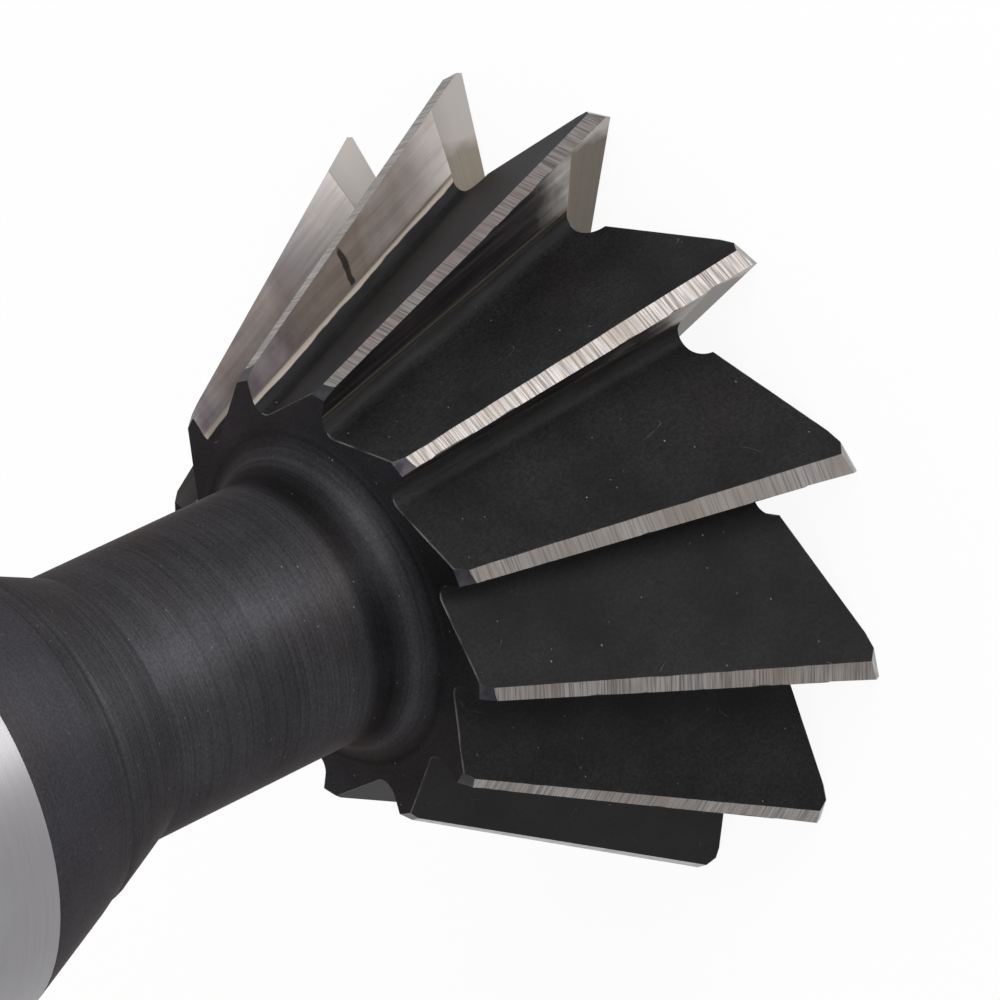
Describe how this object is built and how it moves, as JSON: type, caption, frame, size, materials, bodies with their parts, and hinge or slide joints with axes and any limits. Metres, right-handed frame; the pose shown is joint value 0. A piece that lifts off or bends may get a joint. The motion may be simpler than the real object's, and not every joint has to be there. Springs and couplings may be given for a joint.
{
  "type": "dovetail cutter",
  "caption": "Solid dovetail milling cutter: conical toothed head on a slim turned neck and a thicker plain cylindrical shank.",
  "frame": {"origin": "on the cutter's axis, in the plane of the end teeth's outer corners that it stands on", "axes": "+Z along the axis from the end teeth up to the shank's free end; +X towards the outer corner of one tooth"},
  "size_m": [0.06, 0.06, 0.12],
  "materials": {
    "cutter_steel": "black oxide on the neck and tooth backs, ground bright on the shank, lands and rake faces"
  },
  "bodies": {
    "root": {"dovetail_cutter": "cutter_steel"}
  },
  "joints": []
}
